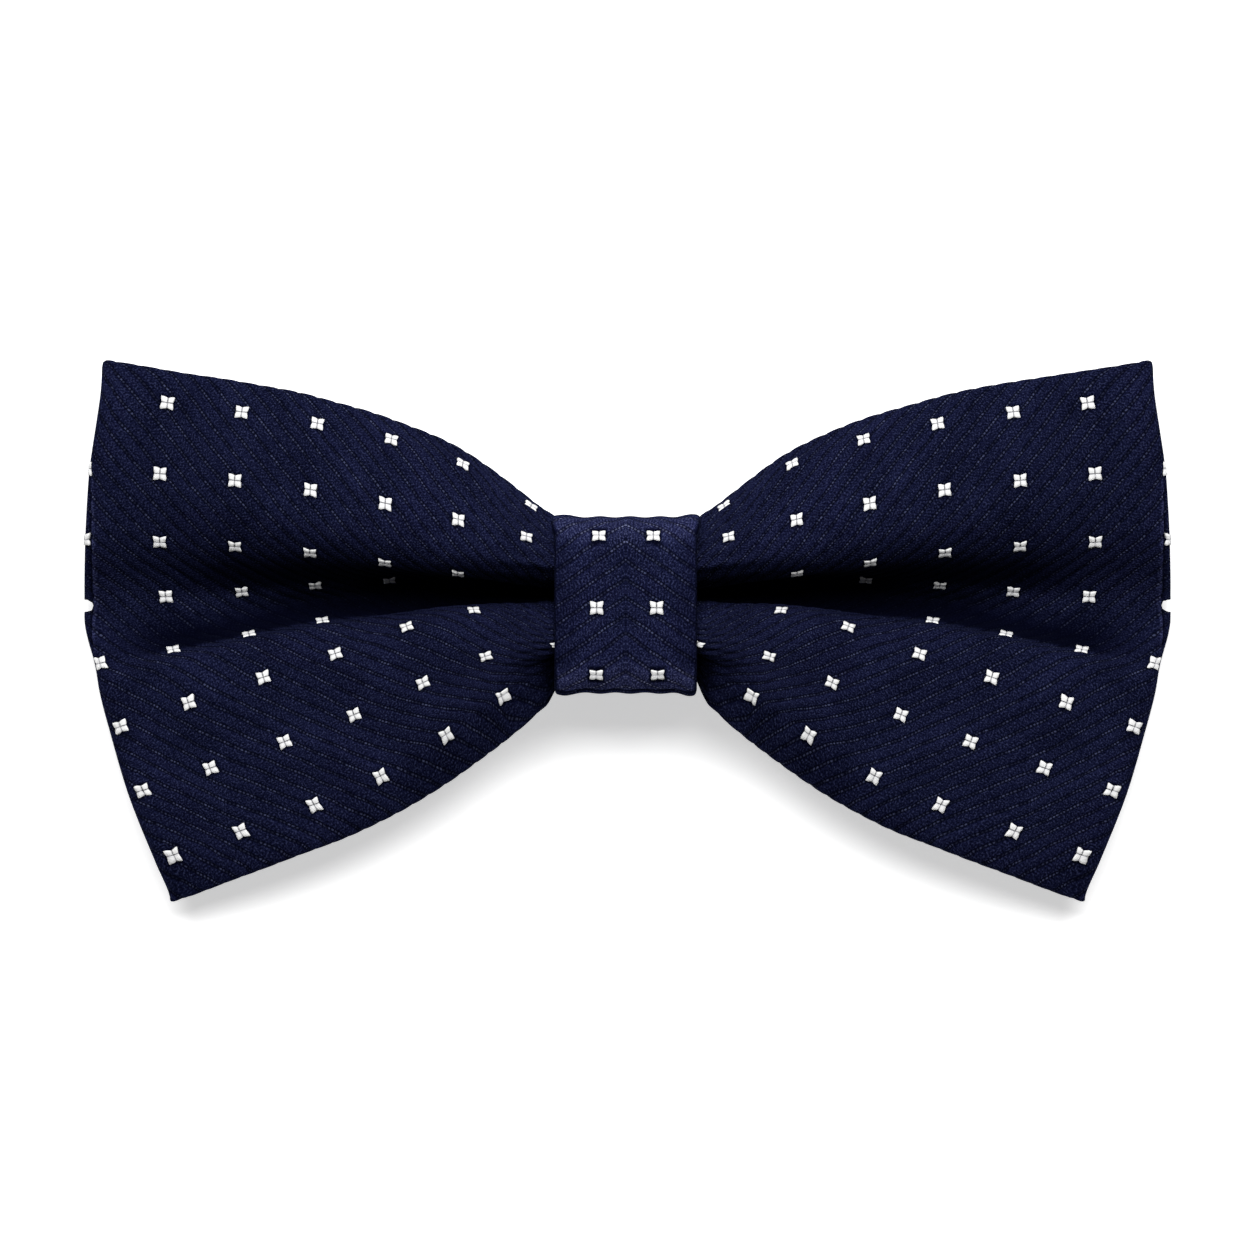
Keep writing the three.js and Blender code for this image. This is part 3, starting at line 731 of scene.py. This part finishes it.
def knotProfile():
    # Section of the band, a rounded rectangle: x, how far out from its middle, and the distance round it
    edge, radius = knot["thick"] / 2, knot["edgeRadius"]
    flat = knot["halfWidth"] - radius
    turn = np.linspace(0, rightAngle, knot["edgeSteps"] + 1)
    over = np.linspace(0, flat, knot["outerSteps"] // 2 + 1)
    under = np.linspace(flat, 0, knot["innerSteps"] // 2 + 1)
    x = np.concatenate([over, flat + radius * np.sin(turn[1:]), flat + radius * np.cos(turn), under[1:]])
    out = np.concatenate([
        np.full(len(over), edge), edge - radius + radius * np.cos(turn[1:]),
        radius - edge - radius * np.sin(turn), np.full(len(under) - 1, -edge),
    ])
    across = arcLength(np.stack([x, out], axis=1))
    back = slice(-2, 0, -1)
    return [np.concatenate([half, sign * half[back]]) for half, sign in ((x, -1), (out, 1), (across, -1))]


def knotWeave(across, length):
    # Places across and along the ribs, which run down from the middle to both sides
    slope = math.radians(knot["ribSlope"])
    side, down = np.abs(across), length + knot["ribStart"]
    return down * math.cos(slope) - side * math.sin(slope), down * math.sin(slope) + side * math.cos(slope)


def knotStarPlaces():
    # Places of the stars over the cloth from their heights on the front
    centre, outward, length = knotPath()
    front = outward[:, 1] > 0.1
    y = knot["y"] + centre[front, 0] + outward[front, 0] * knot["thick"] / 2
    rows = knotStarRows.values()
    down = np.interp([-row["y"] for row in rows], -y, length[front])
    x = np.array([[row["left"], row["right"]] for row in rows]) - knot["shiftX"]
    return x.ravel(), np.repeat(down, 2)


def knotHem(out, centre, outward):
    # 1 on the line above the band's lowest roll
    y = knot["y"] + centre[..., 0] + outward[..., 0] * out
    shown = (outward[..., 0] < 0) & (outward[..., 1] > knot["hemFront"])
    return bell(y, knot["hemY"], knot["hemWidth"]) * shown


def knotShape(x, out, across, centre, outward, length):
    # The band's surface: crowned in front, with ears at its corners, low waves at its ends, the line above
    # its lowest roll and the ribs' grooves
    centreY, centreZ = centre[..., 0], centre[..., 1]
    outY, outZ = outward[..., 0], outward[..., 1]
    wide = x / knot["halfWidth"]
    surface = smoothStep(*knot["faceFrom"], out / (knot["thick"] / 2))
    crown = knot["crown"] * np.maximum(outZ, 0) ** 2 * (1 - wide ** 2)
    top, low = (smoothStep(knot["endFrom"], 1, up) for up in (outY, -outY))
    ears = bell(np.abs(x), knot["earAt"], knot["earWidth"]) * (knot["topEar"] * top + knot["lowEar"] * low)
    ripple = knot["rippleHeight"] * np.sin(x * knot["rippleTurn"] + knot["rippleStart"]) * (top + low)
    ribs = ribProfile(knotWeave(across, length)[0] / weave["knotRibPitch"])
    dents = knot["ribDepth"] * (1 - ribs) + knot["hemDepth"] * knotHem(out, centre, outward)
    raised = out + surface * (crown + ears + ripple - dents)
    spread = np.sign(x) * knot["topSpread"] * top * smoothStep(knot["spreadFrom"], 1, np.abs(wide))
    return np.stack([
        x + knot["shiftX"] + spread,
        knot["y"] + centreY + outY * raised,
        knot["z"] + centreZ + outZ * raised,
    ], axis=-1)


def buildKnot(name):
    # The section carried round the path as a closed ring
    centre, outward, length = knotPath()
    x, out, across = knotProfile()
    shape = (out[None, :], centre[:, None], outward[:, None])
    grid = knotShape(x[None, :], shape[0], across[None, :], *shape[1:], length[:, None])
    around = len(x)
    faces = ringQuads(len(length), around, closed=True)
    # Two corners of each face lie a step further on, so that the last faces don't go back to the start
    down = length[faces[:, :1] // around] + (length[1] - length[0]) * np.array([0, 1, 1, 0])
    uvs = np.stack(knotWeave(across[faces % around], down), axis=-1)
    wide, long = np.broadcast_arrays(across[None, :], length[:, None])
    outY, outZ = outward[:, 0:1], outward[:, 1:2]
    # Painted shade round the stars, along the hem line and at the band's side edges
    rim = smoothStep(knot["rimFrom"], knot["halfWidth"], np.abs(x))[None, :]
    side = smoothStep(knot["sideFrom"], knot["rimFrom"], np.abs(x))[None, :]
    paintedShadeAndLight = np.maximum(starShadeOf(wide, long, *knotStarPlaces()), np.maximum(knotHem(*shape), rim)) * (out > 0)
    # Painted highlights over the rolls at the top and the bottom, and painted shade towards the sides between
    # them
    roll = smoothStep(*knot["rollAt"], np.abs(outY)) * smoothStep(*knot["rollFront"], outZ)
    paintedShadeAndLight = np.maximum(paintedShadeAndLight, knot["sideShade"] * side * (1 - roll))
    light = roll * np.where(outY > 0, knot["topLight"], knot["lowLight"])
    paintedShadeAndLight = paintedShadeAndLight - light * (1 - np.clip(paintedShadeAndLight * 3, 0, 1))
    return makePiece(name, grid.reshape(-1, 3), [faces], [uvs], {"paintedShadeAndLight": paintedShadeAndLight.ravel()})


def knotSurface(along, across, lift):
    # Points lift above the band's outer face
    centre, outward, length = knotPath()
    middle, out = (pairsAt(across, length, pairs) for pairs in (centre, outward))
    return knotShape(along, knot["thick"] / 2 + lift, along, middle, unit(out), across)


clip = {
    "y": 3.1, "thick": 0.8, "width": 8.0, "leafZ": 4.9, "bendX": 9.8, "tipX": 1.5, "corner": 1.6,
    "bevel": 0.22, "straightStep": 0.5, "bendSteps": 24, "tipSteps": 10, "cornerSteps": 5,
}


def flatRun(x, z, up):
    # A straight stretch of the clip's path: x, z and the normal's x and z, a row each
    return np.stack([x, np.full(len(x), z), np.zeros(len(x)), np.full(len(x), up)])


def clipPath():
    # Middle line of the strip from one arm's tip round both bends to the other's, with its normal
    radius = (clip["leafZ"] - clip["thick"] / 2) / 2
    low, step = clip["thick"] / 2, clip["straightStep"]
    tip = clip["tipX"] + clip["corner"] * (1 - np.cos(np.linspace(0, rightAngle, clip["tipSteps"])))
    arm = np.concatenate([tip, np.arange(tip[-1] + step, clip["bendX"], step)])
    turn = np.linspace(-rightAngle, rightAngle, clip["bendSteps"])
    outX, outZ = np.cos(turn), np.sin(turn)
    bend = np.stack([clip["bendX"] + radius * outX, low + radius + radius * outZ, outX, outZ])
    leaf = np.arange(clip["bendX"] - step, 0.0, -step)
    half = np.concatenate([flatRun(arm, low, -1.0), bend, flatRun(leaf, clip["leafZ"], 1.0)], axis=1)
    mirrored = half[:, ::-1] * np.array([[-1], [1], [-1], [1]])
    return np.concatenate([half, flatRun(np.zeros(1), clip["leafZ"], 1.0), mirrored], axis=1)


def buildClip(name):
    # Rounded rectangle carried along the path, narrowed in quarter circles at the arms' tips
    x, z, nx, nz = clipPath()
    bevel, halfT = clip["bevel"], clip["thick"] / 2
    fromTip = np.minimum(np.abs(np.abs(x) - clip["tipX"]), clip["corner"])
    onArm = (z < clip["leafZ"] / 2) & (np.abs(x) < clip["tipX"] + clip["corner"])
    cut = clip["corner"] - np.sqrt(np.maximum(clip["corner"] ** 2 - (clip["corner"] - fromTip) ** 2, 0))
    halfW = clip["width"] / 2 - np.where(onArm, cut, 0)
    # The section's four rounded corners: which way each lies, and how its arc turns
    signT, signW = (np.repeat(signs, clip["cornerSteps"]) for signs in ((1, 1, -1, -1), (1, -1, -1, 1)))
    arc = np.linspace(0, rightAngle, clip["cornerSteps"])
    turns = np.concatenate([arc[::-1], arc, arc[::-1], arc])
    t = signT * (halfT - bevel + bevel * np.cos(turns))
    across = signW * halfW[:, None] + signW * (-bevel + bevel * np.sin(turns))
    points = np.stack([
        x[:, None] + nx[:, None] * t, clip["y"] + across, z[:, None] + nz[:, None] * t,
    ], axis=-1)
    rings, around = across.shape
    faces = ringQuads(rings, around, closed=False)
    caps = np.stack([np.arange(around)[::-1], (rings - 1) * around + np.arange(around)])
    length = arcLength(np.stack([x, z], axis=1))
    place = np.stack(np.broadcast_arrays(length[:, None], across), axis=-1).reshape(-1, 2)
    return makePiece(name, points.reshape(-1, 3), [faces, caps], [place[faces], place[caps]])


class Wire:
    # A node's output with the arithmetic operators, each of which adds one Math node
    def __init__(self, board, socket):
        self.board, self.socket = board, socket

    def math(self, operation, *others):
        return self.board.add("Math", {"operation": operation}, dict(enumerate([self, *others])))

    def __add__(self, other):
        return self.math("ADD", other)

    __radd__ = __add__

    def __sub__(self, other):
        return self.math("SUBTRACT", other)

    def __rsub__(self, other):
        return self.board.add("Math", {"operation": "SUBTRACT"}, {0: other, 1: self})

    def __mul__(self, other):
        return self.math("MULTIPLY", other)

    __rmul__ = __mul__

    def __truediv__(self, other):
        return self.math("DIVIDE", other)

    def fract(self):
        return self.math("FRACT")

    def floor(self):
        return self.math("FLOOR")

    def away(self, centre):
        return (self - centre).math("ABSOLUTE")

    def smooth(self, low, high):
        # 0 below low and 1 above high, or the other way round where low is the larger
        settings = {"interpolation_type": "SMOOTHSTEP"}
        return self.board.add("MapRange", settings, {"Value": self, "From Min": low, "From Max": high})

    def atLeast(self, least):
        # 0 to 1 brought to least to 1
        return self * (1 - least) + least


class Board:
    # One material's nodes. add makes any node from its type, its settings and its inputs by name or number.
    def __init__(self, name):
        self.material = bpy.data.materials.new(name)
        self.material.use_nodes = True
        self.tree = self.material.node_tree
        self.tree.nodes.clear()

    def add(self, kind, settings=None, inputs=None, output=0):
        node = self.tree.nodes.new("ShaderNode" + kind)
        for key, value in (settings or {}).items():
            setattr(node, key, value)
        for key, value in (inputs or {}).items():
            if isinstance(value, Wire):
                self.tree.links.new(value.socket, node.inputs[key])
            else:
                node.inputs[key].default_value = value
        return Wire(self, node.outputs[output])

    def uv(self):
        # The two places over the piece
        apart = self.add("SeparateXYZ", None, {0: self.add("UVMap", {"uv_map": "weave"})})
        return [Wire(self, apart.socket.node.outputs[i]) for i in range(2)]

    def vector(self, x, y):
        return self.add("CombineXYZ", None, {0: x, 1: y})

    def noise(self, where, scale, detail=2.0, roughness=0.5):
        sizes = {"Scale": scale, "Detail": detail, "Roughness": roughness}
        return self.add("TexNoise", None, {"Vector": where, **sizes})

    def mixColor(self, share, a, b, blend="MIX"):
        settings = {"data_type": "RGBA", "blend_type": blend}
        return self.add("Mix", settings, {0: share, 6: a, 7: b}, output=2)

    def bump(self, strength, depth, height):
        return self.add("Bump", None, {"Strength": strength, "Distance": depth * mm, "Height": height})

    def finish(self, fixed, changing):
        # fixed are numbers for the surface's own sockets, changing are links
        surface = self.add("BsdfPrincipled", None, {**fixed, **changing})
        output = self.tree.nodes.new("ShaderNodeOutputMaterial")
        self.tree.links.new(surface.socket, output.inputs["Surface"])
        return self.material


clothLook = {
    "dark": (0.0008, 0.0010, 0.0044), "mid": (0.0068, 0.0084, 0.0308), "light": (0.0410, 0.0490, 0.1130),
    "thread": (0.0430, 0.0500, 0.1010), "paintedLight": (3.1, 2.9, 2.5, 1),
    "drift": 0.3, "driftNoise": (0.3,), "grooveEdge": (0.32, 0.1), "threadEdge": (0.128, 0.048),
    "dotPitch": 0.42, "dotNoise": (1.6,), "dotDrift": 1.1, "dotEdge": (0.36, 0.16), "dotLeast": 0.08,
    "strengthNoise": (0.8, 2.0, 0.6), "strengthEdge": (0.38, 0.68), "strengthLeast": 0.15,
    "grainNoise": (5.0, 1.5, 0.6), "brightEdge": (0.50, 0.70), "shadowEdge": (0.48, 0.34),
    "twillPitch": 0.33, "twillDown": 0.85, "twillAside": 0.5, "twillEdge": (0.05, 0.45),
    "cloudNoise": (0.16, 3.0), "roughness": 0.75, "gloss": 0.15, "bump": (0.6, 0.08),
    "sheen": {"Sheen Weight": 0.03, "Sheen Roughness": 0.3, "Sheen Tint": (0.38, 0.48, 1.0, 1)},
}


def clothMaterial(name, pitch, shade):
    # Broad ribs of fine speckled twill, parted by a dark groove with a line of light stitches in it
    b = Board(name)
    look = clothLook
    # shade scales every tone, so that a copy of the cloth can be painted lighter
    tone = {key: (*(c * shade for c in look[key]), 1) for key in ("dark", "mid", "light", "thread")}
    p, w = b.uv()
    where = b.vector(p, w)
    drift = (b.noise(where, *look["driftNoise"]) - 0.5) * look["drift"]
    phase = p / pitch + drift
    fromLine = (0.5 - phase.fract().away(0.5)) * pitch
    groove = fromLine.smooth(*look["grooveEdge"])
    line = fromLine.smooth(*look["threadEdge"])
    dots = w / look["dotPitch"] + b.noise(where, *look["dotNoise"]) * look["dotDrift"]
    stitch = dots.fract().away(0.5).smooth(*look["dotEdge"])
    strength = b.noise(where, *look["strengthNoise"]).smooth(*look["strengthEdge"])
    thread = line * stitch.atLeast(look["dotLeast"]) * strength.atLeast(look["strengthLeast"])
    grain = b.noise(where, *look["grainNoise"])
    bright = grain.smooth(*look["brightEdge"])
    shadow = grain.smooth(*look["shadowEdge"])
    twill = (w * look["twillDown"] - p * look["twillAside"]) / look["twillPitch"] + drift
    twill = twill.fract().away(0.5).smooth(*look["twillEdge"])
    band = b.add("TexWhiteNoise", {"noise_dimensions": "1D"}, {"W": (phase + 0.5).floor()})
    cloudy = b.noise(where, *look["cloudNoise"])
    paintedShadeAndLight = b.add("Attribute", {"attribute_name": "paintedShadeAndLight"}, output=2)
    tint = 0.40 + 0.30 * twill + 0.9 * (cloudy - 0.5) + 0.25 * (band - 0.5)
    base = b.mixColor(tint, tone["dark"], tone["mid"])
    base = b.mixColor(bright * (0.28 + 0.30 * cloudy), base, tone["light"])
    base = b.mixColor(shadow * 0.75, base, tone["dark"])
    base = b.mixColor(groove * 0.9, base, tone["dark"])
    base = b.mixColor(thread, base, tone["thread"])
    # The attribute darkens as painted shade where it is over 0 and lightens as painted highlight where it is
    # under 0
    base = b.mixColor(paintedShadeAndLight * 0.9, base, tone["dark"])
    base = b.mixColor(paintedShadeAndLight * -1.0, base, look["paintedLight"], "MULTIPLY")
    height = 0.5 * grain + 0.25 * twill + 0.5 * thread - 0.6 * groove
    roughness = look["roughness"] - look["gloss"] * bright
    return b.finish({"Specular IOR Level": 0.0, **look["sheen"]}, {
        "Base Color": base, "Roughness": roughness, "Normal": b.bump(*look["bump"], height)})


threadLook = {
    "low": (0.62, 0.62, 0.63, 1), "high": (0.86, 0.86, 0.85, 1), "seam": (0.36, 0.36, 0.40, 1),
    "threads": 6.0, "slant": 0.25, "threadEdge": (0.5, 0.2), "seamWidth": 0.22, "fleckNoise": (9.0,),
    "roughness": 0.5, "bump": (0.5, 0.05),
}
steelLook = {
    "dark": (0.46, 0.47, 0.49, 1), "light": (0.66, 0.67, 0.69, 1), "roughness": 0.22, "bump": (0.3, 0.03),
    "brushNoise": (3.0, 4.0, 0.6), "fineNoise": (2.0, 2.0),
}


def starMaterial(name):
    # White twisted threads side by side over each petal, greyer in the seams between the petals
    b = Board(name)
    look = threadLook
    p, q = b.uv()
    threads = ((p * look["slant"] + q) * look["threads"]).fract().away(0.5).smooth(*look["threadEdge"])
    fleck = b.noise(b.vector(p, q), *look["fleckNoise"])
    color = b.mixColor(threads * 0.6 + 0.4 * fleck, look["low"], look["high"])
    seam = 1 - p.smooth(0.0, look["seamWidth"]) * q.smooth(0.0, look["seamWidth"])
    color = b.mixColor(seam * 0.6, color, look["seam"])
    bump = b.bump(*look["bump"], threads + 0.3 * fleck)
    return b.finish({"Specular IOR Level": 0.3, "Sheen Weight": 0.1}, {
        "Base Color": color, "Roughness": look["roughness"] + 0.15 * fleck, "Normal": bump})


def steelMaterial(name):
    # Brushed along its length, with a few fine scratches
    b = Board(name)
    look = steelLook
    p, w = b.uv()
    brush = b.noise(b.vector(p * 0.12, w * 6.0), *look["brushNoise"])
    fine = b.noise(b.vector(p * 0.5, w * 25.0), *look["fineNoise"])
    color = b.mixColor(brush, look["dark"], look["light"])
    roughness = look["roughness"] + 0.2 * brush
    return b.finish({"Metallic": 1.0}, {
        "Base Color": color, "Roughness": roughness, "Normal": b.bump(*look["bump"], brush + 0.5 * fine)})


def floorMaterial(name):
    # White paper with a faint grain and a glow of its own
    b = Board(name)
    grain = b.noise(b.add("TexCoord", output=3), studio["paperGrain"])
    color = b.mixColor(grain, *((white, white, white, 1) for white in studio["paperWhite"]))
    glow = {"Emission Color": (1, 1, 1, 1), "Emission Strength": studio["floorGlow"]}
    return b.finish({"Roughness": 0.9, "Specular IOR Level": 0.0, **glow}, {"Base Color": color})


camera = {
    "lens": 500, "sensor": 36, "photoPixels": 1254, "mmPerPixel": 0.1102, "x": -0.055, "y": 0.55, "focusZ": 8,
    "nearest": 50, "farthest": 20000,
}
studio = {
    "world": 0.08, "floorSize": 8000, "floorDrop": 0.02, "floorGlow": 0.54, "paperGrain": 400,
    "paperWhite": (0.87, 0.89),
    "key": {"width": 1300, "height": 640, "place": (0, 550, 1000), "watts": 22.0},
}


def buildStudio():
    # A dim white world, one broad lamp, the floor, and the camera straight above
    scene = bpy.context.scene
    scene.view_settings.view_transform = "Standard"
    world = bpy.data.worlds.new("studio")
    world.use_nodes = True
    background = world.node_tree.nodes["Background"].inputs
    background["Color"].default_value = (1, 1, 1, 1)
    background["Strength"].default_value = studio["world"]
    scene.world = world
    light = bpy.data.lights.new("key", "AREA")
    light.shape = "ELLIPSE"
    light.size, light.size_y = studio["key"]["width"] * mm, studio["key"]["height"] * mm
    light.energy = studio["key"]["watts"]
    lamp = bpy.data.objects.new("key", light)
    lamp.location = [c * mm for c in studio["key"]["place"]]
    lamp.rotation_euler = (-lamp.location).to_track_quat("-Z", "Y").to_euler()
    lamp.visible_camera = False
    scene.collection.objects.link(lamp)
    half = studio["floorSize"] / 2
    corners = np.array([[-half, -half, 0], [half, -half, 0], [half, half, 0], [-half, half, 0]], float)
    corners[:, 2] -= studio["floorDrop"]
    quad = np.array([[0, 1, 2, 3]])
    floor = makePiece("floor", corners, [quad], [corners[quad][..., :2] / half])
    floor.data.materials.append(floorMaterial("paper_floor"))

    lens = bpy.data.cameras.new("camera")
    lens.lens, lens.sensor_width = camera["lens"], camera["sensor"]
    eye = bpy.data.objects.new("camera", lens)
    width = camera["photoPixels"] * camera["mmPerPixel"]
    away = width * camera["lens"] / camera["sensor"]
    eye.location = (camera["x"] * mm, camera["y"] * mm, (camera["focusZ"] + away) * mm)
    lens.clip_start, lens.clip_end = camera["nearest"] * mm, camera["farthest"] * mm
    scene.collection.objects.link(eye)
    scene.camera = eye


def dress(piece, material, node=None):
    # Gives a piece its material and body, and hides the CAD part that it stands for, if any
    piece.data.materials.append(material)
    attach(piece, "root")
    if node:
        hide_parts(node)
    print(piece.name, len(piece.data.polygons), "faces")
    return piece


buildStudio()
print("studio ready")

wingCloth = clothMaterial("navy_rib_cloth", weave["ribPitch"], 1.0)
# The knot's copy of the cloth has every tone 1.3 times lighter: painted light on the knot
knotCloth = clothMaterial("knot_rib_cloth_painted_lighter", weave["knotRibPitch"], 1.3)
whiteThread = starMaterial("white_thread")
steel = steelMaterial("brushed_steel")
print("materials ready")

clothLength = endReach - wing["tuckReach"]
starA, starV = starLattice()
for side, end in ((1, "right"), (-1, "left")):
    cloth = dress(buildWing("bow_cloth_" + end, side, 7 + side), wingCloth, "bow_cloth")
    clothLength * mm
    dress(buildStars("woven_stars_" + end, starA, starV, wingSurface, side), whiteThread)

band = dress(buildKnot("knot_wrap_band"), knotCloth, "knot_wrap")
tall = np.repeat([row["tall"] for row in knotStarRows.values()], 2)[:, None]
dress(buildStars("woven_stars_knot", *knotStarPlaces(), knotSurface, tall=tall), whiteThread)
dress(buildClip("collar_clip_strip"), steel, "collar_clip")
